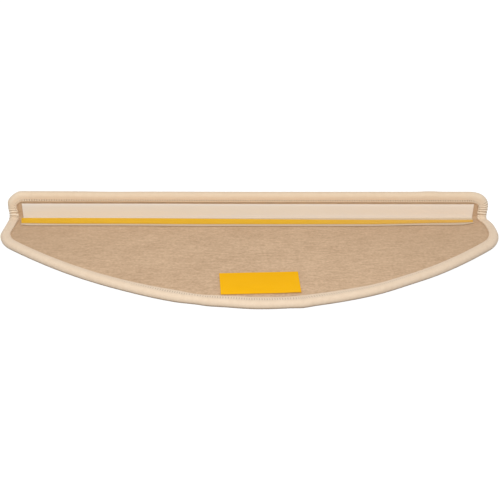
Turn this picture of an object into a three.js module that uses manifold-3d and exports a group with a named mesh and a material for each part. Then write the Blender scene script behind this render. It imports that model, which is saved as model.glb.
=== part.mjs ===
// Half-moon stair tread mat with a plastic angle for the step's nosing, in millimetres, +Z up.
// The mat lies upside down on its pile, so its felt back, the angle and both tapes face up.
// X runs along the lip, +Y points to the lip, and the rounded rear edge of the tread is at -Y.
// The origin is on the floor under the middle of the mat's outer box.

import * as THREE from 'three';
import { mergeVertices } from 'three/addons/utils/BufferGeometryUtils.js';
import Module from 'manifold-3d';

const wasm = await Module();
wasm.setup();

// Outline of the mat
const matWidth = 650; // across the widest place of the tread
const matDepth = 235; // pile face of the lip to the rear edge
const lipHeight = 47; // floor to the top of the lip
const sideLength = 34; // from the widest place of the tread to the start of the fold
const shoulderRadius = 50;
const neckDraw = 9.5; // each side is drawn in this far at the fold
const lipFlare = 1.75; // each end of the lip stands out this far from the neck
const lipCornerInside = 1.7; // radius left inside the lock thread at the lip's corners

// Carpet
const carpetThickness = 9.5; // pile and felt back together
const pressedPile = 2.8; // how far the whipping presses the pile in along the edge
const pileOverlap = 1; // how far the raised pile runs into the pressed sheet

// Whipped edge: yarn wound round the cut edge of the carpet
const edgeReach = 13; // width of the yarn border on the felt
const edgeRise = 2; // height of its crown above the felt
const edgeCrown = 5.5; // distance of the crown from the outside
const edgeWrap = 4.5; // yarn outside the cut edge
const edgeBorder = 0.7; // yarn above the felt at the inner border
const edgeFoldRadius = 2; // radius of the crown where the lip folds up
const feltClearance = 0.6; // between the yarn and the felt, and at the carpet's cut edge
const pileClearance = 1; // between the yarn and the pressed pile
const ridgePitch = 7.5; // of the ridges in the yarn, along the edge
const ridgeDepth = 0.5;

// Lock thread of the whipping, sewn along its inner border
const threadRadius = 0.5;
const threadGap = 0.3;
const threadSides = 6;

// Plastic angle in the fold
const angleWall = 1.5;
const angleTreadFlange = 23; // width of the flange on the tread
const angleTopGap = 1.2; // from the lip flange to the lock thread above it
const angleEndGap = 4.5; // from each end to the yarn border beside it
const angleShift = -1; // off the middle of the mat, to -X
const glueGap = 0.3; // glue line between the angle or a tape and the felt

// Double-sided tape on the tread flange, with its cover strip
const stripFromHeel = 1.7; // round heel of the angle to the tape
const stripMargin = 2.3; // bare flange in front of the tape
const stripEndGap = 1; // tape end to flange end
const tapeThickness = 0.6;
const coverThickness = 0.2;

// Tape patch near the rear edge, laid on by hand and so a little askew
const patchLength = 98;
const patchWidth = 52;
const patchRearGap = 11.3; // from the patch to the yarn border behind it
const patchShift = 0.8; // off the middle of the mat, to +X
const patchTurn = THREE.MathUtils.degToRad(2.3);
const patchSkew = 2.6; // its ends were cut out of square by this much

// Steps along each stretch of the half outline, from the rear edge to the middle of the lip
const rearSteps = 24;
const shoulderSteps = 8;
const sideSteps = 16;
const lipSideSteps = 4;
const cornerSteps = 6;

// Two points closer than this are one.
const weldDistance = 1e-3;

// Band of felt that the lock thread takes up inside the yarn border
const threadBand = threadGap + 2 * threadRadius;
const lipCornerRadius = edgeReach + threadBand + lipCornerInside;
const neckX = matWidth / 2 - neckDraw;
const lipX = neckX + lipFlare;

// The fold turns the sheet up by a quarter turn round a line above the felt.
const foldRadius = edgeRise + edgeFoldRadius; // at the felt
const foldHeight = carpetThickness + foldRadius; // of the line above the floor
const foldLength = (Math.PI / 2) * (foldRadius + carpetThickness / 2);
const feltOfLip = matDepth / 2 - carpetThickness;
const foldY = feltOfLip - foldRadius;

// Lays a point of the flat cut in its folded place. x and v are its place in the cut, with v = 0
// where the fold starts, and w is its height above the pile face.
function fold(x, v, w) {
  const turn = (Math.PI / 2) * THREE.MathUtils.clamp(v / foldLength, 0, 1);
  const radius = foldHeight - w;
  const before = Math.min(v, 0);
  const beyond = Math.max(v - foldLength, 0);
  return new THREE.Vector3(
    x,
    foldY + before + radius * Math.sin(turn),
    foldHeight - radius * Math.cos(turn) + beyond
  );
}

// Where the rear parabola, with its apex at rearV, meets the round shoulder with one tangent.
function rearJoin(shoulderX, shoulderV, rearV) {
  const rounds = 40; // each one brings the angle much closer
  let angle = Math.PI / 4;
  for (let i = 0; i < rounds; i++) {
    const rise = shoulderV - shoulderRadius * Math.cos(angle) - rearV;
    const run = shoulderX + shoulderRadius * Math.sin(angle);
    angle = Math.atan((2 * rise) / run);
  }
  return {
    angle,
    x: shoulderX + shoulderRadius * Math.sin(angle),
    v: shoulderV - shoulderRadius * Math.cos(angle),
  };
}

// Right half of the mat's outline in the flat cut, from the middle of the rear edge to the middle
// of the lip: a parabola, a round shoulder, the side drawn in to the neck, and the lip's corner.
function halfOutline() {
  const rearV = -matDepth / 2 - foldY;
  const lipV = foldLength + lipHeight - foldHeight;
  const shoulderX = matWidth / 2 - shoulderRadius;
  const shoulderV = -sideLength;
  const join = rearJoin(shoulderX, shoulderV, rearV);
  const lipSideV = lipV - lipCornerRadius;
  const side = foldLength - shoulderV;
  const lipSide = lipSideV - foldLength;
  const shoulderEase = 0.55; // length of the curves' handles, as shares of each stretch
  const neckEase = 0.3;
  const lipEase = 0.4;
  const point = (x, v) => new THREE.Vector2(x, v);
  return [
    {
      curve: new THREE.QuadraticBezierCurve(
        point(0, rearV), point(join.x / 2, rearV), point(join.x, join.v)),
      steps: rearSteps,
    },
    {
      curve: new THREE.EllipseCurve(
        shoulderX, shoulderV, shoulderRadius, shoulderRadius, join.angle - Math.PI / 2, 0),
      steps: shoulderSteps,
    },
    {
      curve: new THREE.CubicBezierCurve(
        point(matWidth / 2, shoulderV), point(matWidth / 2, shoulderV + side * shoulderEase),
        point(neckX, foldLength - side * neckEase), point(neckX, foldLength)),
      steps: sideSteps,
    },
    {
      curve: new THREE.CubicBezierCurve(
        point(neckX, foldLength), point(neckX, foldLength + lipSide * lipEase),
        point(lipX, lipSideV - lipSide * lipEase), point(lipX, lipSideV)),
      steps: lipSideSteps,
    },
    {
      curve: new THREE.EllipseCurve(
        lipX - lipCornerRadius, lipSideV, lipCornerRadius, lipCornerRadius, 0, Math.PI / 2),
      steps: cornerSteps,
    },
    {
      curve: new THREE.LineCurve(point(lipX - lipCornerRadius, lipV), point(0, lipV)),
      steps: 1,
    },
  ];
}

const outline = halfOutline();

// A place on the outline with its outward normal; the outline runs anticlockwise.
function station(point, tangent) {
  return { x: point.x, v: point.y, nx: tangent.y, nv: -tangent.x };
}

function mirrored({ x, v, nx, nv }) {
  return { x: -x, v, nx: -nx, nv };
}

// Stations of the right half at the steps of each stretch.
function halfStations() {
  const stations = [station(outline[0].curve.getPoint(0), outline[0].curve.getTangent(0))];
  for (const { curve, steps } of outline) {
    for (let i = 1; i <= steps; i++) {
      stations.push(station(curve.getPoint(i / steps), curve.getTangent(i / steps)));
    }
  }
  return stations;
}

// Stations all the way round, spaced evenly, the first in the middle of the rear edge.
function evenStations(count) {
  const path = new THREE.CurvePath();
  outline.forEach(({ curve }) => path.add(curve));
  const half = count / 2;
  const right = [];
  for (let i = 0; i <= half; i++) {
    right.push(station(path.getPoint(i / half), path.getTangent(i / half)));
  }
  return [...right, ...right.slice(1, -1).reverse().map(mirrored)];
}

function outlineLength() {
  return 2 * outline.reduce((sum, { curve }) => sum + curve.getLength(), 0);
}

// Moves every vertex by place(position) and welds the result into one closed surface.
function shaped(geometry, place) {
  const position = geometry.getAttribute('position');
  const at = new THREE.Vector3();
  for (let i = 0; i < position.count; i++) {
    at.fromBufferAttribute(position, i);
    const to = place(at);
    position.setXYZ(i, to.x, to.y, to.z);
  }
  geometry.deleteAttribute('normal');
  geometry.deleteAttribute('uv');
  const welded = mergeVertices(geometry, weldDistance);
  welded.computeVertexNormals();
  return welded;
}

// The side walls of an extrusion without its two end caps.
function withoutCaps(geometry) {
  const sides = geometry.groups[1];
  const open = new THREE.BufferGeometry();
  const position = geometry.getAttribute('position').array;
  const from = sides.start * 3;
  const walls = position.slice(from, from + sides.count * 3);
  open.setAttribute('position', new THREE.BufferAttribute(walls, 3));
  return open;
}

// A closed ring: a bar of the section is wrapped round the outline and its ends are welded. The
// section's x is the inset from the outline and its y the height above the pile face.
function wrapped(section, stations, press = (inset, height) => [inset, height]) {
  const count = stations.length;
  const bar = new THREE.ExtrudeGeometry(section, {
    depth: 1,
    steps: count,
    bevelEnabled: false,
    curveSegments: 1,
  });
  return shaped(withoutCaps(bar), (at) => {
    const index = Math.round(at.z * count) % count;
    const { x, v, nx, nv } = stations[index];
    const [inset, height] = press(at.x, at.y, index);
    return fold(x - nx * inset, v - nv * inset, height);
  });
}

// A sheet that fills the outline at an inset, between two heights above the pile face.
function sheet(inset, low, high) {
  const rows = halfStations().slice(1, -1).reverse();
  const half = 0.5;
  const section = new THREE.Shape([
    new THREE.Vector2(-half, low),
    new THREE.Vector2(half, low),
    new THREE.Vector2(half, high),
    new THREE.Vector2(-half, high),
  ]);
  const last = rows.length - 1;
  const bar = new THREE.ExtrudeGeometry(section, { depth: 1, steps: last, bevelEnabled: false });
  return shaped(bar, (at) => {
    const { x, v, nx, nv } = rows[Math.round(at.z * last)];
    return fold(Math.sign(at.x) * (x - nx * inset), v - nv * inset, at.y);
  });
}

function toManifold(geometry) {
  const vertProperties = Float32Array.from(geometry.getAttribute('position').array);
  const triVerts = Uint32Array.from(geometry.index.array);
  return new wasm.Manifold(new wasm.Mesh({ numProp: 3, vertProperties, triVerts }));
}

function toGeometry(manifold) {
  const { vertProperties, triVerts } = manifold.getMesh();
  const geometry = new THREE.BufferGeometry();
  geometry.setAttribute('position', new THREE.BufferAttribute(vertProperties, 3));
  geometry.setIndex(new THREE.BufferAttribute(triVerts, 1));
  geometry.computeVertexNormals();
  return geometry;
}

// The whole carpet, folded once: a sheet pressed thinner along its edge, where the yarn wraps it,
// with the full height of the pile inside the yarn border.
function carpetGeometry() {
  const pressed = sheet(edgeWrap + feltClearance, pressedPile, carpetThickness);
  const pile = sheet(edgeReach + feltClearance, 0, pressedPile + pileOverlap);
  return toGeometry(toManifold(pressed).add(toManifold(pile)));
}

// Section of the whipped edge: a round bead of yarn with a slot that takes the carpet.
function edgeSection() {
  const top = carpetThickness + edgeRise;
  const middle = top / 2;
  const slotTop = carpetThickness + feltClearance;
  const slotLow = pressedPile - pileClearance;
  const section = new THREE.Shape();
  section.moveTo(edgeReach, slotTop);
  section.lineTo(edgeReach, slotTop + edgeBorder);
  section.lineTo(edgeCrown, top);
  section.absellipse(edgeCrown, middle, edgeCrown, middle, Math.PI / 2, Math.PI, false);
  section.absellipse(edgeCrown, middle, edgeCrown, middle, Math.PI, 1.5 * Math.PI, false);
  section.lineTo(edgeReach, 0);
  section.lineTo(edgeReach, slotLow);
  section.lineTo(edgeWrap, slotLow);
  section.lineTo(edgeWrap, slotTop);
  const inSlot = (inset, height) =>
    inset > edgeWrap - weldDistance &&
    height > slotLow - weldDistance &&
    height < slotTop + weldDistance;
  return { section, inSlot, core: new THREE.Vector2(edgeCrown, middle) };
}

// The yarn ridges: at every other station the outside of the bead is drawn towards its core.
function edgeGeometry() {
  const { section, inSlot, core } = edgeSection();
  const ridges = Math.round(outlineLength() / ridgePitch);
  const drawnIn = (inset, height, index) => {
    if (index % 2 === 0 || inSlot(inset, height)) return [inset, height];
    const at = new THREE.Vector2(inset, height);
    const inward = core.clone().sub(at).setLength(ridgeDepth);
    return at.add(inward).toArray();
  };
  return wrapped(section, evenStations(2 * ridges), drawnIn);
}

// The lock thread lies on the felt, just inside the yarn border.
function threadGeometry() {
  const inset = edgeReach + threadGap + threadRadius;
  const height = carpetThickness + threadGap + threadRadius;
  const corners = [];
  for (let i = 0; i < threadSides; i++) {
    const angle = (2 * Math.PI * i) / threadSides;
    corners.push(new THREE.Vector2(
      inset + threadRadius * Math.cos(angle), height + threadRadius * Math.sin(angle)));
  }
  const right = halfStations();
  const left = right.slice(1, -1).reverse().map(mirrored);
  return wrapped(new THREE.Shape(corners), [...right, ...left]);
}

// Section of the angle, with its heel's corner at the origin, the tread flange towards -x and the
// lip flange towards +y. Its heel is round, to lie in the fold, and both free edges are round.
function angleSection(lipFlange) {
  const heel = foldRadius - glueGap;
  const inner = heel - angleWall;
  const tip = angleWall / 2;
  const section = new THREE.Shape();
  section.moveTo(-angleTreadFlange + tip, 0);
  section.lineTo(-heel, 0);
  section.absarc(-heel, heel, heel, -Math.PI / 2, 0, false);
  section.lineTo(0, lipFlange - tip);
  section.absarc(-tip, lipFlange - tip, tip, 0, Math.PI, false);
  section.lineTo(-angleWall, angleWall + inner);
  section.absarc(-angleWall - inner, angleWall + inner, inner, 0, -Math.PI / 2, true);
  section.lineTo(-angleTreadFlange + tip, angleWall);
  section.absarc(-angleTreadFlange + tip, tip, tip, Math.PI / 2, 1.5 * Math.PI, false);
  return section;
}

const angleLength = 2 * (Math.min(neckX, lipX) - edgeReach - angleEndGap);
const angleBase = carpetThickness + glueGap;

function angleMesh(material) {
  const lipFlange = lipHeight - edgeReach - threadBand - angleTopGap - angleBase;
  const bar = new THREE.ExtrudeGeometry(angleSection(lipFlange), {
    depth: angleLength,
    bevelEnabled: false,
    curveSegments: 5,
  });
  // The section's x and y become Y and Z, and the bar runs along X.
  const alongX = new THREE.Matrix4().makeBasis(
    new THREE.Vector3(0, 1, 0), new THREE.Vector3(0, 0, 1), new THREE.Vector3(1, 0, 0));
  bar.applyMatrix4(alongX);
  const mesh = new THREE.Mesh(bar, material);
  mesh.position.set(angleShift - angleLength / 2, feltOfLip - glueGap, angleBase);
  return mesh;
}

// A flat tape with its cover on top, centred over the origin and standing on z = 0. The skew
// moves its front edge to -X and its rear edge to +X.
function tapeStack(length, width, skew, tapeMaterial, coverMaterial) {
  const cut = new THREE.Shape([
    new THREE.Vector2((-length - skew) / 2, -width / 2),
    new THREE.Vector2((length - skew) / 2, -width / 2),
    new THREE.Vector2((length + skew) / 2, width / 2),
    new THREE.Vector2((-length + skew) / 2, width / 2),
  ]);
  const layer = (depth) => new THREE.ExtrudeGeometry(cut, { depth, bevelEnabled: false });
  const tape = new THREE.Mesh(layer(tapeThickness), tapeMaterial);
  const cover = new THREE.Mesh(layer(coverThickness), coverMaterial);
  cover.position.z = tapeThickness;
  return { tape, cover };
}

function named(name, mesh) {
  mesh.name = name;
  return mesh;
}

const felt = new THREE.MeshStandardMaterial({ color: 0xcbae90, roughness: 0.95 });
const yarn = new THREE.MeshStandardMaterial({ color: 0xecd5b8, roughness: 0.85 });
const thread = new THREE.MeshStandardMaterial({ color: 0xb08d68, roughness: 0.7 });
const plastic = new THREE.MeshStandardMaterial({ color: 0xe6d0b8, roughness: 0.45 });
const adhesive = new THREE.MeshStandardMaterial({ color: 0xe9dfc8, roughness: 0.6 });
const yellow = new THREE.MeshStandardMaterial({ color: 0xf5b41c, roughness: 0.4 });

const mat = new THREE.Group();
mat.add(named('carpet', new THREE.Mesh(carpetGeometry(), felt)));
mat.add(named('edge_binding', new THREE.Mesh(edgeGeometry(), yarn)));
mat.add(named('lock_thread', new THREE.Mesh(threadGeometry(), thread)));
mat.add(named('angle_profile', angleMesh(plastic)));

const stripRearY = foldY - stripFromHeel;
const stripFrontY = feltOfLip - glueGap - angleTreadFlange + stripMargin;
const strip = tapeStack(
  angleLength - 2 * stripEndGap, stripRearY - stripFrontY, 0, adhesive, yellow);
const stripGroup = new THREE.Group();
stripGroup.position.set(
  angleShift, (stripRearY + stripFrontY) / 2, angleBase + angleWall);
stripGroup.add(named('profile_tape', strip.tape), named('profile_tape_cover', strip.cover));
mat.add(stripGroup);

const patch = tapeStack(patchLength, patchWidth, patchSkew, adhesive, yellow);
const patchGroup = new THREE.Group();
const patchY = -matDepth / 2 + edgeReach + patchRearGap + patchWidth / 2;
patchGroup.position.set(patchShift, patchY, carpetThickness + glueGap);
patchGroup.rotation.z = patchTurn;
patchGroup.add(named('patch_tape', patch.tape), named('patch_tape_cover', patch.cover));
mat.add(patchGroup);

export default mat;
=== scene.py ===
import bisect
import math

import bmesh
import bpy
from mathutils import Matrix, Vector, geometry, kdtree, noise


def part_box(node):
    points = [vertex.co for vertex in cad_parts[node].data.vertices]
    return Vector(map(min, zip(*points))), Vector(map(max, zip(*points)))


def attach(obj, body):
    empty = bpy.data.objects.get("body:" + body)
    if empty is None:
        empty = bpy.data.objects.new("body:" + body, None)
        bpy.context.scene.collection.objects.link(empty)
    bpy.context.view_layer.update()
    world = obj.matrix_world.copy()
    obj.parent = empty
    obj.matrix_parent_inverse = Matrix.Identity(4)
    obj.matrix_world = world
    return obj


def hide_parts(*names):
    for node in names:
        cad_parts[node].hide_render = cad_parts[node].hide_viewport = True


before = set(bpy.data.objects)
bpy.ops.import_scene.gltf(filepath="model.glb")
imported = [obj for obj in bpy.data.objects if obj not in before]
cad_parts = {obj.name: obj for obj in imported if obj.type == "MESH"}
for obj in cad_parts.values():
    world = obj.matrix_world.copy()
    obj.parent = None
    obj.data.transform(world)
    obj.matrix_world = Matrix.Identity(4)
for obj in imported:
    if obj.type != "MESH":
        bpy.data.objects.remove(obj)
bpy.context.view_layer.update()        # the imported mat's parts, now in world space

# Half-moon stair mat, lying on its pile with its felt back and both tapes up.
# Metres, +X along the lip, +Y towards the lip, +Z up, as in the frame.

quarter = math.pi / 2

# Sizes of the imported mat, and the folded sheet

edgeLow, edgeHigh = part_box("edge_binding")
angleLow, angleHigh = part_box("angle_profile")
stripLow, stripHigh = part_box("profile_tape")
stripCoverLow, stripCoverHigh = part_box("profile_tape_cover")
patchLow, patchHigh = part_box("patch_tape")
patchCoverLow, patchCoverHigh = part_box("patch_tape_cover")

glueGap = 0.0003             # under the angle and the tapes
foldRadius = 0.004           # of the felt, where the lip folds up
matDepth = edgeHigh.y - edgeLow.y
lipHeight = edgeHigh.z
thickness = patchLow.z - glueGap
foldHeight = thickness + foldRadius
foldLength = quarter * (foldRadius + thickness / 2)
foldY = matDepth / 2 - foldHeight
lipTopV = foldLength + lipHeight - foldHeight
rearV = -matDepth / 2 - foldY


# Lays a point of the flat cut in its folded place: v is 0 where the fold starts, and w is the
# height above the pile face.
def fold(x, v, w):
    turn = quarter * min(max(v / foldLength, 0), 1)
    radius = foldHeight - w
    y = foldY + min(v, 0) + radius * math.sin(turn)
    z = foldHeight - radius * math.cos(turn) + max(v - foldLength, 0)
    return Vector((x, y, z))


def bell(offset, width):
    return math.exp(-(offset / width) ** 2)


def ease(value, start, end):
    share = min(max((value - start) / (end - start), 0), 1)
    return share * share * (3 - 2 * share)


# A depth that comes in from one place to the other along X, or dies away between them
def comesIn(x, depth, start, end):
    return depth * ease(x, start, end)


def diesAway(x, depth, start, end):
    return depth * (1 - ease(x, start, end))


# Outline of the mat: each end of this one came out a little different

rightEnd = dict(
    halfWidth=0.3245,
    shoulderRadius=0.056,
    sideLength=0.033,        # widest place of the tread to the start of the fold
    sideBow=(0.74, 0.42),    # fullness of the side after the shoulder and before the neck
    neckDraw=0.0078,         # the side is drawn in this far at the fold
    lipFlare=0.0007,         # the end of the lip stands out this far from the neck
    lipBow=(0.4, 0.4),
    lipCorner=(0.0267, 0.021),
    cornerBow=(0.61, 0.61),  # below and on top: 0 is a straight cut and 0.55 a round one
    bunchAt=0.0235,          # the yarn bunches up at the end of the lip: middle, from the fold
    bunchSpan=0.0135,
    bunchPitch=0.0039,
    narrowing=0.0,           # of the yarn's border there
    widening=-0.0008,        # of the border at this end of the tread
)

leftEnd = dict(
    halfWidth=0.3241,
    shoulderRadius=0.044,
    sideLength=0.0377,
    sideBow=(0.1, 0.22),
    neckDraw=0.0086,
    lipFlare=0.0017,
    lipBow=(0.25, 0.65),
    lipCorner=(0.0168, 0.0161),
    cornerBow=(0.42, 0.3),
    bunchAt=0.0145,
    bunchSpan=0.0105,
    bunchPitch=0.0036,
    narrowing=0.0015,
    widening=-0.0018,
)

# The edge isn't quite even: place along X, length and depth of each shallow dent. A negative
# one stands out.
rearDents = (
    (-0.165, 0.055, 0.0016), (-0.082, 0.014, 0.0017), (-0.043, 0.022, 0.0018),
    (0.051, 0.011, -0.0018), (0.105, 0.05, 0.0011), (0.19, 0.03, 0.0020),
)
lipDents = ((-0.02, 0.25, 0.00066), (-0.18, 0.035, 0.0004), (0.238, 0.012, -0.0007))

curveSteps = 400             # along the outline's short curves
joinRounds = 40              # each brings the angle of the join much closer
directionReach = 0.0008      # the edge's direction is taken over this distance to both sides


def bezier(start, startHandle, endHandle, end, count=curveSteps):
    return [p.to_2d() for p in geometry.interpolate_bezier(start, startHandle, endHandle, end, count)]


# Right half of the outline of the flat cut, from the middle of the rear edge to the middle of
# the lip: a parabola, the round shoulder, the side down to the neck, and the lip's corner.
def halfOutline(end):
    radius = end["shoulderRadius"]
    shoulder = Vector((end["halfWidth"] - radius, -end["sideLength"]))
    angle = math.pi / 4
    for _ in range(joinRounds):
        join = shoulder + Vector((math.sin(angle), -math.cos(angle))) * radius
        angle = math.atan(2 * (join.y - rearV) / join.x)
    apex = Vector((0, rearV))
    middle = Vector((join.x / 2, rearV))
    side = Vector((end["halfWidth"], shoulder.y))
    neck = Vector((end["halfWidth"] - end["neckDraw"], foldLength))
    across, down = end["lipCorner"]
    lipSide = Vector((neck.x + end["lipFlare"], lipTopV - down))
    tip = Vector((lipSide.x, lipTopV))
    lipTop = Vector((tip.x - across, lipTopV))
    sideRun = Vector((0, neck.y - side.y))
    lipRun = Vector((0, lipSide.y - neck.y))
    afterShoulder, beforeNeck = end["sideBow"]
    lowBow, highBow = end["lipBow"]
    lowCorner, topCorner = end["cornerBow"]
    turns = [angle - quarter + (quarter - angle) * i / curveSteps for i in range(curveSteps + 1)]
    longSteps, topSteps = 4 * curveSteps, 2 * curveSteps
    stretches = [
        bezier(apex, apex.lerp(middle, 2 / 3), join.lerp(middle, 2 / 3), join, longSteps),
        [shoulder + Vector((math.cos(t), math.sin(t))) * radius for t in turns],
        bezier(side, side + sideRun * afterShoulder, neck - sideRun * beforeNeck, neck),
        bezier(neck, neck + lipRun * lowBow, lipSide - lipRun * highBow, lipSide),
        bezier(lipSide, lipSide.lerp(tip, lowCorner), lipTop.lerp(tip, topCorner), lipTop),
        [lipTop.lerp(Vector((0, lipTopV)), i / topSteps) for i in range(topSteps + 1)],
    ]
    points = stretches[0]
    for stretch in stretches[1:]:
        points += stretch[1:]
    return points


def dentDepth(spot, normal):
    dents = lipDents if spot.y > 0 else rearDents
    return abs(normal.y) * sum(deep * bell(spot.x - x, length) for x, length, deep in dents)


# The whole outline as a loop that can be asked for its place and outward normal at any distance
# from the middle of the rear edge, anticlockwise seen from above.
class Outline:
    def __init__(self):
        right, left = halfOutline(rightEnd), halfOutline(leftEnd)
        plan = right + [Vector((-p.x, p.y)) for p in reversed(left[1:-1])]
        count = len(plan)
        self.points = []
        for i, spot in enumerate(plan):
            along = (plan[(i + 1) % count] - plan[i - 1]).normalized()
            normal = Vector((along.y, -along.x))
            self.points.append(spot - normal * dentDepth(spot, normal))
        self.marks = [0.0]
        for i in range(count):
            step = (self.points[(i + 1) % count] - self.points[i]).length
            self.marks.append(self.marks[-1] + step)
        self.length = self.marks[-1]

    def pointAt(self, distance):
        distance %= self.length
        i = min(bisect.bisect_right(self.marks, distance), len(self.points)) - 1
        share = (distance - self.marks[i]) / (self.marks[i + 1] - self.marks[i])
        return self.points[i].lerp(self.points[(i + 1) % len(self.points)], share)

    def station(self, distance):
        behind, ahead = self.pointAt(distance - directionReach), self.pointAt(distance + directionReach)
        along = (ahead - behind).normalized()
        return self.pointAt(distance), Vector((along.y, -along.x))


outline = Outline()
print(f"outline: {outline.length * 1000:.0f} mm round")


# Mesh helpers

plain = (0, 0, 0)            # the marks of a point that its material doesn't ask for
weld = 1e-6
crisp = 0.7                  # edges with a sharper turn than this stay crisp, in radians


# A grid is bent by place(k, j), which gives the point and three marks for its material, and its
# seams are welded.
def bentGrid(along, around, place):
    mesh = bmesh.new()
    bmesh.ops.create_grid(mesh, x_segments=along, y_segments=around, size=0.5)
    layer = mesh.verts.layers.float_vector.new("marks")
    for vert in mesh.verts:
        k = round((vert.co.x + 0.5) * along)
        j = round((vert.co.y + 0.5) * around)
        vert.co, vert[layer] = place(k, j)
    bmesh.ops.remove_doubles(mesh, verts=mesh.verts, dist=weld)
    return mesh


def closeEnds(mesh):
    rim = [edge for edge in mesh.edges if edge.is_boundary]
    bmesh.ops.holes_fill(mesh, edges=rim, sides=0)


def finished(name, mesh, material, node, sharpAngle=math.pi):
    bmesh.ops.recalc_face_normals(mesh, faces=mesh.faces)
    for face in mesh.faces:
        face.smooth = True
    for edge in mesh.edges:
        edge.smooth = edge.calc_face_angle(0) < sharpAngle
    data = bpy.data.meshes.new(name)
    mesh.to_mesh(data)
    mesh.free()
    data.materials.append(material)
    piece = bpy.data.objects.new(name, data)
    bpy.context.scene.collection.objects.link(piece)
    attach(piece, "root")
    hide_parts(node)
    return piece


# Material helpers

def linear(channel):
    share = channel / 255
    return share / 12.92 if share <= 0.04045 else ((share + 0.055) / 1.055) ** 2.4


def paint(red, green, blue):
    return (linear(red), linear(green), linear(blue), 1)


# One value among a material's nodes, on which sums can be written.
class Wire:
    def __init__(self, nodes, socket):
        self.nodes = nodes
        self.socket = socket

    def __add__(self, other):
        return self.nodes.maths("ADD", self, other)

    def __sub__(self, other):
        return self.nodes.maths("SUBTRACT", self, other)

    def __rsub__(self, other):
        return self.nodes.maths("SUBTRACT", other, self)

    def __mul__(self, other):
        return self.nodes.maths("MULTIPLY", self, other)

    __radd__ = __add__
    __rmul__ = __mul__


class Nodes:
    def __init__(self, tree):
        self.tree = tree
        self.tree.nodes.clear()

    # settings come first, then the values or wires of the inputs
    def add(self, kind, settings=None, inputs=None, outlet=0):
        node = self.tree.nodes.new(kind)
        for name, value in (settings or {}).items():
            setattr(node, name, value)
        for name, value in (inputs or {}).items():
            self.feed(node.inputs[name], value)
        return Wire(self, node.outputs[outlet]) if node.outputs else node

    def feed(self, socket, value):
        if isinstance(value, Wire):
            self.tree.links.new(value.socket, socket)
        else:
            socket.default_value = value

    def maths(self, operation, first, second):
        return self.add("ShaderNodeMath", {"operation": operation}, {0: first, 1: second})

    def mix(self, share, first, second):
        return self.add("ShaderNodeMix", {"data_type": "RGBA"}, {0: share, 6: first, 7: second}, 2)

    # stretches a stretch of a value to the whole of 0 to 1
    def spread(self, wire, low, high):
        return self.add("ShaderNodeMapRange", None, {"Value": wire, "From Min": low, "From Max": high})

    # 1 where the camera looks, straight or by a reflection, and 0 for the light on the mat
    def seen(self):
        rays = [self.add("ShaderNodeLightPath", outlet=f"Is {kind} Ray")
                for kind in ("Camera", "Glossy", "Transmission")]
        return self.add("ShaderNodeClamp", None, {"Value": rays[0] + rays[1] + rays[2]})


class Finish(Nodes):
    def __init__(self, name, roughness=0.5, specular=0.3, sheen=0.0):
        self.material = bpy.data.materials.new(name)
        self.material.use_nodes = True
        super().__init__(self.material.node_tree)
        surface = self.add("ShaderNodeBsdfPrincipled", None, {
            "Roughness": roughness, "Specular IOR Level": specular, "Sheen Weight": sheen})
        self.shader = surface.socket.node
        self.output = self.add("ShaderNodeOutputMaterial", None, {"Surface": surface})
        self.place = self.add("ShaderNodeTexCoord", outlet="Object")

    # noise of about the given grain in metres along X, Y and Z, from 0 to 1
    def grain(self, sizes, detail=2.0, roughness=0.5, turn=0.0):
        place = self.add("ShaderNodeMapping", None, {
            "Vector": self.place, "Rotation": (0, 0, turn), "Scale": [1 / size for size in sizes]})
        blotch = self.add("ShaderNodeTexNoise", None, {
            "Vector": place, "Scale": 1.0, "Detail": detail, "Roughness": roughness})
        return self.spread(blotch, 0.3, 0.7)

    def axis(self, name):
        return self.add("ShaderNodeSeparateXYZ", None, {"Vector": self.place}, name)

    def mark(self, name):
        marks = self.add("ShaderNodeAttribute", {"attribute_name": "marks"}, outlet="Vector")
        return self.add("ShaderNodeSeparateXYZ", None, {"Vector": marks}, name)

    def set(self, name, value):
        self.feed(self.shader.inputs[name], value)

    def bump(self, height, distance, strength=1.0):
        self.set("Normal", self.add("ShaderNodeBump", None, {
            "Height": height, "Distance": distance, "Strength": strength}))


# Carpet: felt back above, pile below

carpet = dict(
    rows=150,
    topColumns=200,
    pileColumns=380,
    edgeInset=0.0053,        # cut edge of the carpet, inside the yarn
    edgeSamples=4000,
    endMargin=0.0002,        # the first and the last row are this far inside the cut edge
    yarnReach=0.013,         # the yarn covers the edge up to here
    pressedPile=0.0028,      # and presses the pile in
    pressEase=0.0016,
    pileDepth=0.0005,        # roughness of the pile's face
    pileGrain=0.0022,
    feltDrop=0.0002,         # of the felt from its full height, and twice as much by the yarn
    feltEase=(-0.001, 0.004),    # from and to here, counted from the yarn
    feltWave=0.00012,
    feltWaveRate=(45, 90),   # along X and Y, per metre
    litSpot=(0.01, -0.08),  # painted light: the felt is painted palest near the front, as the pool of the lamp
    litReach=(0.34, 0.2),
    felt=paint(213, 181, 148),
    feltLight=paint(240, 207, 172),
    feltDark=paint(174, 141, 109),
    feltEndShade=paint(189, 158, 126),
    pile=paint(219, 196, 167),
    pileDark=paint(176, 150, 120),
)


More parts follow.
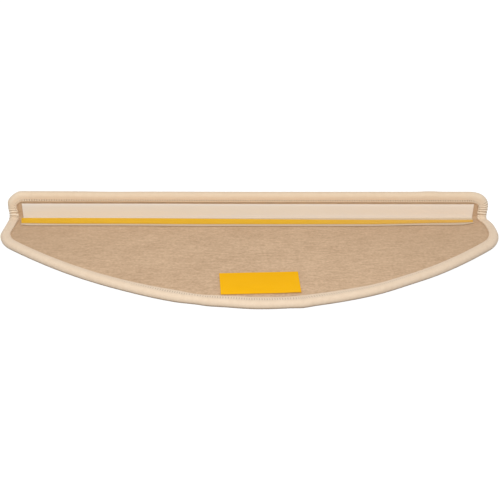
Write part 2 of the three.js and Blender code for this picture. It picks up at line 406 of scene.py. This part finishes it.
def carpetFinish():
    c = carpet
    f = Finish("feltAndPile", roughness=0.95, specular=0.12, sheen=0.1)
    pileSide = f.mark("X")
    mottle = f.grain((0.05, 0.03, 0.03), 3, 0.6)
    streaks = f.grain((0.012, 0.0034, 0.0034), 3, 0.55)
    speckle = f.grain((0.0036, 0.003, 0.003), 2, 0.6)
    fibres = f.grain((0.0035, 0.0005, 0.0005), 3, 0.6, 0.5)
    crossFibres = f.grain((0.0005, 0.003, 0.0005), 3, 0.6, 0.35)
    blend = mottle * 0.22 + streaks * 0.36 + speckle * 0.42
    feltTone = f.mix(blend, c["feltDark"], c["feltLight"])
    feltTone = f.mix(0.15, feltTone, c["felt"])
    feltTone = f.mix(fibres * 0.12 + crossFibres * 0.1, feltTone, c["feltDark"])
    # painted light: away from its lit spot near the front the felt is painted darker towards its ends,
    # as the lamp's falloff
    away = (f.axis("X") - c["litSpot"][0]) * (1 / c["litReach"][0])
    back = (f.axis("Y") - c["litSpot"][1]) * (1 / c["litReach"][1])
    feltTone = f.mix(f.spread(away * away + back * back, 0, 1.6) * 0.5, feltTone, c["feltEndShade"])
    tufts = f.grain((0.0018, 0.0018, 0.0018), 4, 0.75)
    pileTone = f.mix(tufts * 0.75 + mottle * 0.15, c["pileDark"], c["pile"])
    f.set("Base Color", f.mix(pileSide, feltTone, pileTone))
    feltHeight = fibres * 0.25 + crossFibres * 0.15 + streaks * 0.15 + speckle * 0.15
    f.bump(feltHeight * (1 - pileSide) + tufts * pileSide, 0.0006, 0.6)
    return f.material


# Half widths of the carpet on both sides at any height v of the cut
def carpetEdges():
    sides = {1: [], -1: []}
    count = carpet["edgeSamples"]
    for i in range(count):
        point, normal = outline.station(outline.length * i / count)
        inner = point - normal * carpet["edgeInset"]
        sides[1 if inner.x >= 0 else -1].append((inner.y, inner.x))
    return {side: sorted(places) for side, places in sides.items()}


def edgeAt(places, v):
    i = min(max(bisect.bisect_left(places, (v,)), 1), len(places) - 1)
    (lowV, lowX), (highV, highX) = places[i - 1], places[i]
    share = min(max((v - lowV) / max(highV - lowV, 1e-9), 0), 1)
    return lowX + (highX - lowX) * share


def makeCarpet():
    c = carpet
    spots = outline.points[::2]
    near = kdtree.KDTree(len(spots))
    for i, spot in enumerate(spots):
        near.insert(spot.to_3d(), i)
    near.balance()
    edges = carpetEdges()
    lowV = max(edges[1][0][0], edges[-1][0][0]) + c["endMargin"]
    highV = min(edges[1][-1][0], edges[-1][-1][0]) - c["endMargin"]
    levels = [lowV + (highV - lowV) * i / c["rows"] for i in range(c["rows"] + 1)]
    spans = [(edgeAt(edges[-1], v), edgeAt(edges[1], v)) for v in levels]
    top, low = c["topColumns"], c["pileColumns"]
    around = top + low + 2

    def place(row, step):
        (left, right), v = spans[row], levels[row]
        upper = step <= top or step == around
        across = 1 - (step % around) / top if upper else (step - top - 1) / low
        x = left + (right - left) * across
        inset = near.find(Vector((x, v, 0)))[2]
        if upper:
            pressed = 1 - ease(inset - c["yarnReach"], *c["feltEase"])
            rateX, rateV = c["feltWaveRate"]
            wave = noise.noise(Vector((x * rateX, v * rateV, 0))) * c["feltWave"] * (1 - pressed)
            return fold(x, v, thickness - c["feltDrop"] * (1 + pressed) + wave), plain
        start = c["yarnReach"] - c["pressEase"] * 0.4
        pressed = 1 - ease(inset, start, c["yarnReach"] + c["pressEase"])
        grain = Vector((x, v, 0)) / c["pileGrain"]
        rough = 0.5 + 0.3 * noise.noise(grain) + 0.2 * noise.noise(grain * 2.1)
        height = c["pressedPile"] * pressed + c["pileDepth"] * rough * (1 - pressed)
        return fold(x, v, height), (1, 0, 0)     # the first mark tells the pile from the felt

    mesh = bentGrid(c["rows"], around, place)
    closeEnds(mesh)
    piece = finished("carpet_felt_and_pile", mesh, carpetFinish(), "carpet")
    widths = [right - left for left, right in spans]
    area = sum((a + b) / 2 * (highV - lowV) / c["rows"] for a, b in zip(widths, widths[1:]))
    highV - lowV


# Whipped edge: yarn strands wound round the cut edge

binding = dict(
    strandPitch=0.0016,
    stationsPerStrand=3,
    reach=0.0132,            # inner border on the felt
    lowReach=0.0128,         # inner border on the pile
    crown=0.0055,            # distance of the crown from the outside
    rise=0.002,              # crown above the felt
    wrap=0.0047,             # yarn outside the carpet's cut edge
    border=(0.0002, 0.002),  # fullness of the step down to the felt at the border
    crest=(0.006, 0),        # and of the crown
    flatTo=0.009,            # flat underneath from the crown to here
    lowRound=0.0008,         # of the inner border on the pile
    groove=0.00024,          # between two strands
    scallop=0.00045,         # strands end unevenly along the border
    widening=0.0027,         # of the border in the middle of the curved edge
    middleEnds=(0.09, 0.28), # it dies away between these distances to both sides
    endStarts=(0.03, 0.08),  # and each end's own comes in between these, from the fold
    lipWidening=(0.0005, -0.15, -0.03),  # on the lip, away from its left end
    narrowAt=(0.026, 0.013), # height and length of the narrow place at an end of the lip
    narrowFrom=(0.26, 0.29), # it comes in between these distances from the middle
    slant=0.0016,            # a strand moves on this far in one turn round the edge
    shiftEnd=0.0125,         # the border's wandering dies away from here to the crown
    stitchInset=(0.0103, 0.0083),    # row of needle holes, on the lip and on the curved edge
    holeDepth=0.0006,
    holeLength=0.0007,       # half of a hole, along the edge
    holeWidth=(0.0009, 0.0018),  # half of it across, on the lip and along the curved edge
    noHole=3,                # mark of a point that is far from any hole
    lipHolesFrom=0.003,      # beyond the start of the fold
    lipClosing=0.6,          # the holes of the lip close by this share between these distances
    openOnLip=(0.292, 0.304),    # from its middle
    closed=0.05,             # what is left of a closed hole
    openOnCurve=(0.14, 0.2), # those of the curved edge open between these, from the fold,
    openLean=0.08,           # and sooner on the right
    faintHoles=0.28,         # along the curved edge the holes' painted shade is this dark
    bunchedRow=0.0012,       # the row is nearer the border where the yarn bunches up
    bunchDepth=0.0009,       # of its folds
    # painted shade in the folds where the yarn bunches up
    bunchShade=0.7,
    strandShade=0.08,        # painted shade between two strands
    slopeShade=0.03,         # painted shade on the slope down to the felt
    turnShade=0.8,           # and painted shadow along the line where the yarn turns under the mat
    turnAt=(8.4, 1.2),       # it is this many steps of the section after the crown, and so wide
    lipFrom=(0.1, 0.108),    # along Y the yarn gets painted warm bounce light from the fold between these
    lipEndFrom=(0.285, 0.305),   # and is painted paler, as painted light, between these distances from the lip's middle
    # the border is narrow at these places along X, of this length and depth
    borderDents=((-0.078, 0.016, 0.0024), (-0.03, 0.016, -0.0009), (0.03, 0.025, 0.0012),
                 (0.15, 0.03, 0.0014)),
    yarn=paint(235, 211, 184),
    yarnLight=paint(245, 224, 199),
    yarnHighlight=paint(250, 234, 212),
    yarnShaded=paint(165, 134, 102),
    yarnLipBounce=paint(226, 198, 158),
    # painted shade in the needle holes
    hole=paint(72, 46, 24),
)


def endOf(spot):
    return leftEnd if spot.x < 0 else rightEnd


# How much further in the yarn's border lies than its plain reach. It runs straight past the
# dents, is wider along the curved edge and narrower at the ends of the lip.
def borderShift(spot, normal):
    b, end = binding, endOf(spot)
    if spot.y < 0:
        middle = 1 - ease(abs(spot.x), *b["middleEnds"])
        wider = end["widening"] * ease(-spot.y, *b["endStarts"])
        dent = dentDepth(spot, normal)
        dent += sum(deep * bell(spot.x - x, length) for x, length, deep in b["borderDents"])
        return wider + (b["widening"] - end["widening"]) * middle - dent
    height, length = b["narrowAt"]
    narrower = end["narrowing"] * bell(spot.y - height, length) * ease(abs(spot.x), *b["narrowFrom"])
    return comesIn(spot.x, *b["lipWidening"]) - narrower - dentDepth(spot, normal)


# The needle holes are pulled open along the lip, less at its ends, and closed at the ends of the
# tread.
def holeShow(spot):
    b = binding
    if spot.y > b["lipHolesFrom"]:
        return 1 - b["lipClosing"] * ease(abs(spot.x), *b["openOnLip"])
    opened = ease(b["openLean"] * spot.x - spot.y, *b["openOnCurve"])
    return b["closed"] + (1 - b["closed"]) * opened


# Points round the section as (inset, height), the outside first and the slot for the carpet last.
def bindingSection():
    b = binding
    overSteps, roundSteps = 11, 12
    top = thickness + b["rise"]
    foot = Vector((b["reach"], thickness + 0.0001))
    crest = Vector((b["crown"], top))
    over = bezier(foot, foot + Vector(b["border"]), crest + Vector(b["crest"]), crest, overSteps)
    turns = [math.pi * i / roundSteps for i in range(1, roundSteps)]
    outside = [Vector((b["crown"] * (1 - math.sin(t)), top / 2 * (1 + math.cos(t)))) for t in turns]
    low, inner, bend = b["lowReach"], b["wrap"], b["lowRound"]
    under = [Vector(p) for p in (
        (b["crown"], 0), (b["flatTo"], 0), (low - bend, bend / 8), (low, bend), (low, 2 * bend))]
    slot = [Vector(p) for p in (
        (low - 0.0004, 0.002), (inner, 0.0022), (inner, thickness),
        (b["reach"] - 0.0009, thickness + 0.00005))]
    return over + outside + under + slot, len(over), len(over) + len(outside) + len(under)


def bindingFinish():
    b = binding
    f = Finish("whippedYarn", roughness=0.85, specular=0.15, sheen=0.2)
    # marks: the shade, and how far a point is from its hole, along and across, in half holes
    shade, away, across = f.mark("X"), f.mark("Y"), f.mark("Z")
    onLip = f.spread(f.axis("Y"), *b["lipFrom"])
    # painted light: the ends of the lip are painted paler
    lipEnds = onLip * f.spread(f.maths("ABSOLUTE", f.axis("X"), 0), *b["lipEndFrom"])
    strength = b["faintHoles"] + onLip * (1 - b["faintHoles"])
    # painted shade in the needle holes, fainter along the curved edge
    hole = f.spread(away * away + across * across, 1.3, 0.5)
    # painted highlight on the yarn between the needle holes
    between = f.spread(away, 1, 1.8) * f.spread(across * across, 1.6, 0.4)
    # painted highlight on the ridges where the yarn bunches up
    ridge = f.spread(shade, 0, -0.3)
    patchy = f.grain((0.006, 0.006, 0.006), 3, 0.6)
    hairs = f.grain((0.0006, 0.0006, 0.0006), 3, 0.7)
    tone = f.mix(patchy * 0.55 + hairs * 0.25, b["yarn"], b["yarnLight"])
    # painted warm bounce light on the lip's yarn
    tone = f.mix(onLip * 0.25 + lipEnds * 0.1, tone, b["yarnLipBounce"])
    # painted shade, carried by the shade mark
    tone = f.mix(f.spread(shade, 0, 0.5), tone, b["yarnShaded"])
    tone = f.mix((between * strength + ridge) * 0.9 + lipEnds * 0.3, tone, b["yarnHighlight"])
    f.set("Base Color", f.mix(hole * strength, tone, b["hole"]))
    f.bump(hairs, 0.00025, 0.5)
    return f.material


# How much the yarn is bunched up at a place, and where it stands between ridge and fold there
def bunching(spot, distance, wander):
    end = endOf(spot)
    bunched = 1 - ease(abs(spot.y - end["bunchAt"]) / end["bunchSpan"], 0.6, 1.2)
    return bunched, 0.5 + 0.5 * math.cos(math.tau * distance / end["bunchPitch"] + 2 * wander)


# A point's distance from the nearest needle hole, along the edge and across it, in half holes.
# A hole that is half closed is shorter across.
def fromHole(spot, inset, strand, pitch, bunched):
    b = binding
    curved = 1 if spot.y < 0 else 0      # which of the two rows
    phase = (strand / 2) % 1
    row = b["stitchInset"][curved] + b["bunchedRow"] * bunched
    away = min(phase, 1 - phase) * 2 * pitch / b["holeLength"]
    return away, (inset - row) / b["holeWidth"][curved] / holeShow(spot)


def makeBinding():
    b = binding
    section, overCount, outerCount = bindingSection()
    around = len(section)
    perStrand = b["stationsPerStrand"]
    strands = 2 * round(outline.length / b["strandPitch"] / 2)
    along = strands * perStrand
    pitch = outline.length / strands
    core = Vector((b["crown"], (thickness + b["rise"]) / 2))
    wanderRate, sectionRate = 160, 90        # per metre
    turnStep, turnWidth = b["turnAt"]

    def place(k, j):
        k, j = k % along, j % around
        inset, height = section[j]
        distance = outline.length * k / along + b["slant"] * min(j / outerCount, 1)
        spot, normal = outline.station(distance)
        shift = borderShift(spot, normal) * ease(inset, b["crown"], b["shiftEnd"])
        if height < thickness / 2:
            shift = 0.0
        marks = (0, b["noHole"], b["noHole"])
        if j < outerCount:
            strand = 0.5 + 0.5 * math.cos(math.tau * k / perStrand)
            slope = max(0, 1 - j / (overCount - 1))      # 1 at the border, 0 on the crown
            wander = noise.noise(Vector((distance * wanderRate, inset * sectionRate, 3)))
            bunched, bunch = bunching(spot, distance, wander)
            depth = b["groove"] * (strand + 0.35 * wander) * (1 + 0.6 * slope)
            depth += b["bunchDepth"] * (bunch - 0.5) * bunched
            # painted shade: between strands, on the slope down to the felt, in the bunched folds and
            # along the turn under the mat
            shade = b["strandShade"] * strand + b["slopeShade"] * ease(slope, 0, 0.7)
            shade += b["bunchShade"] * (bunch - 0.45) * bunched
            shade += b["turnShade"] * bell(j - overCount - turnStep, turnWidth)
            marks = (shade, b["noHole"], -b["noHole"])
            if j < overCount:
                away, across = fromHole(spot, inset, k / perStrand, pitch, bunched)
                marks = (shade, away, across)
                depth += b["holeDepth"] * holeShow(spot) * bell(away, 1) * bell(across, 1)
                border = 1 - ease(j, 0, 3)
                inset += b["scallop"] * border * math.cos(math.pi * k / perStrand)
            inset += shift
            at = Vector((inset, height))
            inset, height = at + (core - at).normalized() * depth
        else:
            inset += shift
        point = fold(spot.x - normal.x * inset, spot.y - normal.y * inset, height)
        return point, marks

    mesh = bentGrid(along, around, place)
    finished("edge_whipped_yarn", mesh, bindingFinish(), "edge_binding")


# Lock thread: a chain of small stitches on the felt, just inside the yarn

chain = dict(
    inset=0.0135,
    height=0.00016,          # of its middle above the felt
    radius=0.0003,
    stitchPitch=0.0032,
    width=1.3,               # of a loop, against its height
    sides=8,
    stepsPerStitch=6,
    thread=paint(222, 194, 160),
    threadDark=paint(196, 166, 132),
)


def threadFinish():
    f = Finish("lockThread", roughness=0.7, specular=0.2, sheen=0.1)
    twist = f.grain((0.0007, 0.0007, 0.0007), 2, 0.6)
    f.set("Base Color", f.mix(twist * 0.7, chain["thread"], chain["threadDark"]))
    f.bump(twist, 0.00015, 0.5)
    return f.material


def makeLockThread():
    c = chain
    along = round(outline.length / c["stitchPitch"]) * c["stepsPerStitch"]

    def place(k, j):
        spot, normal = outline.station(outline.length * (k % along) / along)
        turn = math.tau * (j % c["sides"]) / c["sides"]
        loop = abs(math.sin(math.pi * k / c["stepsPerStitch"]))
        radius = c["radius"] * (0.5 + 0.5 * loop)
        inset = c["inset"] + borderShift(spot, normal) + radius * c["width"] * math.cos(turn)
        height = thickness + c["height"] + radius * math.sin(turn)
        return fold(spot.x - normal.x * inset, spot.y - normal.y * inset, height), plain

    mesh = bentGrid(along, c["sides"], place)
    finished("lock_chain_stitch", mesh, threadFinish(), "lock_thread")


# Plastic angle in the fold

angle = dict(
    wall=0.0015,
    alongSteps=200,
    leftFoot=0.0021,         # the left end of the lip flange stands in by this much at its foot
    leftTop=0.0004,
    rightFoot=0.0009,
    # the front of the tread flange is trimmed back, and its corners are cut back too: how deep,
    # and from where to where along X
    leftTrim=(0.0013, -0.2, -0.06),
    rightTrims=((0.0029, 0.15, 0.25), (0.0018, 0.265, 0.3)),
    leftCorner=(0.0022, -0.298, -0.288),
    rightCorner=(0.0034, 0.28, 0.296),
    wave=0.0002,             # the thin front edge isn't quite straight
    waveRate=14,             # per metre
    topTrim=(0.0004, -0.15, 0),      # the lip flange is a little lower away from its left end
    plastic=paint(232, 223, 212),
    plasticWarm=paint(241, 226, 209),    # towards the right
    streak=paint(222, 213, 201),
    onFeltAndShade=paint(207, 187, 161),     # felt showing through the thin flange that lies on it, and painted shade that dims the heel's highlight
)


# The tread flange is trimmed back at its front towards both ends, most at the right.
def flangeTrim(x):
    right = sum(comesIn(x, *trim) for trim in angle["rightTrims"])
    return diesAway(x, *angle["leftTrim"]) + right


def angleFinish():
    a = angle
    f = Finish("creamPlastic", roughness=0.42, specular=0.35)
    lines = f.grain((0.25, 0.0012, 0.0012), 2, 0.5)
    cloud = f.grain((0.05, 0.02, 0.02), 3, 0.5)
    tone = f.mix(f.spread(f.axis("X"), 0, 0.3), a["plastic"], a["plasticWarm"])
    tone = f.mix(lines * 0.15 + cloud * 0.15, tone, a["streak"])
    # felt showing through, and painted shade over the foot of the heel
    above = f.spread(f.axis("Z"), angleLow.z + a["wall"], angleLow.z + 2.6 * a["wall"])
    f.set("Base Color", f.mix(above, a["onFeltAndShade"], tone))
    f.set("Roughness", 0.38 + lines * 0.12)
    f.bump(lines * 0.7 + cloud * 0.3, 0.0001, 0.5)
    return f.material


# Section in Y and Z, from the front tip along the inside, over the top and back underneath.
def angleSection():
    wall = angle["wall"]
    tip = wall / 2
    heel = foldRadius - glueGap
    back, base, front, crest = angleHigh.y, angleLow.z, angleLow.y, angleHigh.z
    centre = Vector((back - heel, base + heel))

    def arc(middle, radius, start, end, count=7):
        turns = [start + (end - start) * i / (count - 1) for i in range(count)]
        return [middle + Vector((math.cos(t), math.sin(t))) * radius for t in turns]

    def straight(start, end, count):
        return [Vector(start).lerp(Vector(end), i / count) for i in range(1, count)]

    return (
        arc(Vector((front + tip, base + tip)), tip, 1.5 * math.pi, quarter)
        + straight((front + tip, base + wall), (centre.x, base + wall), 6)
        + arc(centre, heel - wall, -quarter, 0)
        + straight((back - wall, centre.y), (back - wall, crest - tip), 4)
        + arc(Vector((back - tip, crest - tip)), tip, math.pi, 0)
        + straight((back, crest - tip), (back, centre.y), 4)
        + arc(centre, heel, 0, -quarter)
        + straight((centre.x, base), (front + tip, base), 6)
    )


def makeAngle():
    a = angle
    section = angleSection()
    around = len(section)
    treadEnd = angleHigh.y - foldRadius

    def place(k, j):
        y, z = section[j % around]
        up = max(z - angleLow.z, 0) / (angleHigh.z - angleLow.z)
        outward = max(treadEnd - y, 0) / (treadEnd - angleLow.y)
        left = angleLow.x + a["leftFoot"] + (a["leftTop"] - a["leftFoot"]) * up
        left -= a["leftFoot"] * min(outward * 4, 1)
        right = angleHigh.x - a["rightFoot"] * (1 - up)
        x = left + (right - left) * k / a["alongSteps"]
        wave = a["wave"] * (0.5 + 0.5 * noise.noise(Vector((x * a["waveRate"], 0, 0))))
        cut = diesAway(x, *a["leftCorner"]) + comesIn(x, *a["rightCorner"])
        trim = flangeTrim(x) + wave + cut
        lower = comesIn(x, *a["topTrim"]) * up
        return Vector((x, y + trim * outward ** 2, z - lower)), plain

    mesh = bentGrid(a["alongSteps"], around, place)
    closeEnds(mesh)
    finished("nosing_angle", mesh, angleFinish(), "angle_profile", crisp)


# Tapes and their covers

tape = dict(
    stripSteps=(240, 8),
    patchSteps=(80, 40),
    stripLeft=(-0.2994, -0.2988),    # left end at the heel and at the front
    stripRight=(0.296, 0.2952),
    stripSkew=(0.0049, -0.22, 0.16),     # it leaves the heel by this much towards the right
    stripHeel=0.0015,        # and starts this much closer to it than in the frame
    stripMargin=0.0006,      # more bare plastic in front of the strip than in the frame
    leftMargin=(0.0014, -0.3, -0.24),    # and still more at both ends
    rightMargin=(0.0014, 0.2, 0.28),
    stripDepth=0.015,        # rough depth of the strip, for its ripples
    patchTurn=math.radians(2.3),
    patchLean=0.0005,
    ripple=0.00012,          # cut edges and surface aren't quite straight
    rippleRate=(35, 60),     # along X and Y, per metre
    cornerLift=0.0005,       # of the patch's right corner by the curved edge
    cornerSpan=(0.7, 0.95),
    cover=paint(254, 190, 8),
    coverDark=paint(245, 180, 6),
    # painted shade: the strip's cover is the patch's yellow liner painted darker, as it lies in the
    # shade of the lip; it turns paler and duller towards the right
    stripCoverShaded=paint(233, 184, 52),
    stripDark=paint(225, 174, 46),
    stripDull=paint(223, 176, 86),
    adhesive=paint(222, 178, 96),
    adhesiveDark=paint(190, 142, 62),
)


# The tone fades to the far one along an axis, between two places.
def coverFinish(name, tone, dark, far, axis, places, fading):
    f = Finish(name, roughness=0.55, specular=0.06)
    cloud = f.grain((0.03, 0.018, 0.018), 3, 0.5)
    fibres = f.grain((0.004, 0.0008, 0.0008), 2, 0.6, 0.2)
    tone = f.mix(cloud * 0.45 + fibres * 0.2, tone, dark)
    f.set("Base Color", f.mix(f.spread(f.axis(axis), *places) * fading, tone, far))
    f.set("Roughness", 0.48 + fibres * 0.14)
    f.bump(fibres * 0.5 + cloud * 0.5, 0.00012, 0.4)
    return f.material


def adhesiveFinish():
    f = Finish("tapeAdhesive", roughness=0.55, specular=0.3)
    cells = f.grain((0.0009, 0.0009, 0.0009), 2, 0.6)
    f.set("Base Color", f.mix(cells * 0.6, tape["adhesive"], tape["adhesiveDark"]))
    f.bump(cells, 0.0001, 0.5)
    return f.material


sortAxis = Vector((1, 3, 7))


# A thin closed sheet between two heights. The plan gives X, Y and the lift of each point.
def thinSheet(name, steps, plan, low, high, material, node):
    mesh = bmesh.new()
    bmesh.ops.create_grid(mesh, x_segments=steps[0], y_segments=steps[1], size=0.5)
    for vert in mesh.verts:
        x, y, lift = plan(vert.co.x + 0.5, vert.co.y + 0.5)
        vert.co = Vector((x, y, low + lift))
    grown = bmesh.ops.extrude_face_region(mesh, geom=mesh.faces[:])
    moved = [item for item in grown["geom"] if isinstance(item, bmesh.types.BMVert)]
    bmesh.ops.translate(mesh, verts=moved, vec=(0, 0, high - low))
    # the extrusion leaves the rim's faces in another order each time, so they are sorted by place
    mesh.faces.sort(key=lambda face: face.calc_center_median().dot(sortAxis))
    finished(name, mesh, material, node, crisp)


def unevenness(x, y, seed):
    rateX, rateY = tape["rippleRate"]
    return tape["ripple"] * noise.noise(Vector((x * rateX, y * rateY, seed)))


def stripPlan(lifted):
    t = tape

    def plan(across, down):
        # down is 0 at the front of the strip and 1 at the heel
        left = t["stripLeft"][1] + (t["stripLeft"][0] - t["stripLeft"][1]) * down
        right = t["stripRight"][1] + (t["stripRight"][0] - t["stripRight"][1]) * down
        x = left + (right - left) * across
        heel = stripHigh.y + t["stripHeel"] - comesIn(x, *t["stripSkew"])
        front = stripLow.y + t["stripMargin"] + flangeTrim(x)
        front += diesAway(x, *t["leftMargin"]) + comesIn(x, *t["rightMargin"])
        front += unevenness(x, 0, 5)
        lift = t["ripple"] + unevenness(x, down * t["stripDepth"], 2) if lifted else 0.0
        return x, front + (heel - front) * down, lift
    return plan


# The patch fills its box corner to corner, turned a little.
def patchPlan(low, high, lifted):
    t = tape
    rise = (high.x - low.x) * math.tan(t["patchTurn"])
    lean = t["patchLean"]
    rearLeft, rearRight = Vector((low.x, low.y)), Vector((high.x - lean, low.y + rise))
    lipLeft, lipRight = Vector((low.x + lean, high.y - rise)), Vector((high.x, high.y))

    def plan(across, down):
        spot = rearLeft.lerp(rearRight, across).lerp(lipLeft.lerp(lipRight, across), down)
        spot.y += unevenness(spot.x, 0, 1) * 2 * (down - 0.5)
        if not lifted:
            return spot.x, spot.y, 0.0
        corner = ease(across - down * 0.6, *t["cornerSpan"])
        lift = t["cornerLift"] * corner + t["ripple"] + unevenness(spot.x, spot.y, 4)
        return spot.x, spot.y, lift
    return plan


def makeTapes():
    t = tape
    adhesive = adhesiveFinish()
    # the strip's cover is a painted-shade copy of the yellow liner
    stripFinish = coverFinish("stripCoverShaded", t["stripCoverShaded"], t["stripDark"], t["stripDull"],
                              "X", (0.05, 0.25), 1.0)
    patchFinish = coverFinish("patchCover", t["cover"], t["coverDark"], t["coverDark"],
                              "Y", (patchLow.y, patchHigh.y), 0.8)
    thinSheet("strip_adhesive", t["stripSteps"], stripPlan(False), stripLow.z, stripHigh.z,
              adhesive, "profile_tape")
    thinSheet("strip_cover", t["stripSteps"], stripPlan(True), stripCoverLow.z, stripCoverHigh.z,
              stripFinish, "profile_tape_cover")
    thinSheet("patch_adhesive", t["patchSteps"], patchPlan(patchLow, patchHigh, False),
              patchLow.z, patchHigh.z, adhesive, "patch_tape")
    thinSheet("patch_cover", t["patchSteps"], patchPlan(patchCoverLow, patchCoverHigh, True),
              patchCoverLow.z, patchCoverHigh.z, patchFinish, "patch_tape_cover")


# Floor, lamp and camera

studio = dict(
    ambient=0.5,             # light from all round, where 1 shows a colour as it is written
    floorSize=8.0,
    floorGap=0.0002,         # under the mat
    floorTone=0.5,           # of the floor's own colour
    floorWhite=0.55,         # share of plain white in what the camera sees
    whiteLevel=1.7,          # of that white
    lampPower=32.0,
    lampSize=1.2,
    lampPlace=(-0.2, -1.5, 1.65),
)


def makeFloor():
    s = studio
    mesh = bmesh.new()
    bmesh.ops.create_grid(mesh, x_segments=2, y_segments=2, size=s["floorSize"] / 2)
    bmesh.ops.translate(mesh, verts=mesh.verts, vec=(0, 0, -s["floorGap"]))
    tone = s["floorTone"]
    f = Finish("whiteFloor", roughness=0.9, specular=0.0)
    f.set("Base Color", (tone, tone, tone, 1))
    white = f.add("ShaderNodeEmission", None, {"Strength": s["whiteLevel"]})
    both = f.add("ShaderNodeMixShader", None, {
        0: f.seen() * s["floorWhite"], 1: Wire(f, f.shader.outputs[0]), 2: white})
    f.feed(f.output.inputs["Surface"], both)
    data = bpy.data.meshes.new("floor")
    mesh.to_mesh(data)
    mesh.free()
    data.materials.append(f.material)
    floor = bpy.data.objects.new("floor", data)
    bpy.context.scene.collection.objects.link(floor)


def makeLight():
    s = studio
    world = bpy.data.worlds.new("studioWorld")
    bpy.context.scene.world = world
    world.use_nodes = True
    nodes = Nodes(world.node_tree)
    level = s["ambient"] + nodes.seen() * (1 - s["ambient"])
    sky = nodes.add("ShaderNodeBackground", None, {"Color": (1, 1, 1, 1), "Strength": level})
    output = world.node_tree.nodes.new("ShaderNodeOutputWorld")
    nodes.feed(output.inputs["Surface"], sky)
    lamp = bpy.data.lights.new("softBox", "AREA")
    lamp.shape = "SQUARE"
    lamp.size = s["lampSize"]
    lamp.energy = s["lampPower"]
    holder = bpy.data.objects.new("softBox", lamp)
    holder.location = s["lampPlace"]
    holder.rotation_euler = (-holder.location).to_track_quat("-Z", "Y").to_euler()
    bpy.context.scene.collection.objects.link(holder)


view = dict(
    distance=2.0,
    elevation=math.radians(28.11),
    yaw=math.radians(4.6),
    roll=math.radians(2.11),
    lens=112.12,             # both in mm
    sensor=36,
    target=(-0.0044, 0.0373, 0),
)


def makeCamera():
    v = view
    data = bpy.data.cameras.new("camera")
    data.lens = v["lens"]
    data.sensor_width = v["sensor"]
    camera = bpy.data.objects.new("camera", data)
    turn = Matrix.Rotation(-v["yaw"], 4, "Z") @ Matrix.Rotation(quarter - v["elevation"], 4, "X")
    back = turn @ Vector((0, 0, v["distance"]))
    turn = turn @ Matrix.Rotation(v["roll"], 4, "Z")
    camera.matrix_world = Matrix.Translation(Vector(v["target"]) + back) @ turn
    bpy.context.scene.collection.objects.link(camera)
    bpy.context.scene.camera = camera


print("camera and light")
makeCamera()
makeLight()
makeFloor()
print("carpet")
makeCarpet()
print("whipped edge")
makeBinding()
makeLockThread()
print("angle and tapes")
makeAngle()
makeTapes()

bpy.context.scene.view_settings.view_transform = "Standard"
bpy.context.view_layer.update()
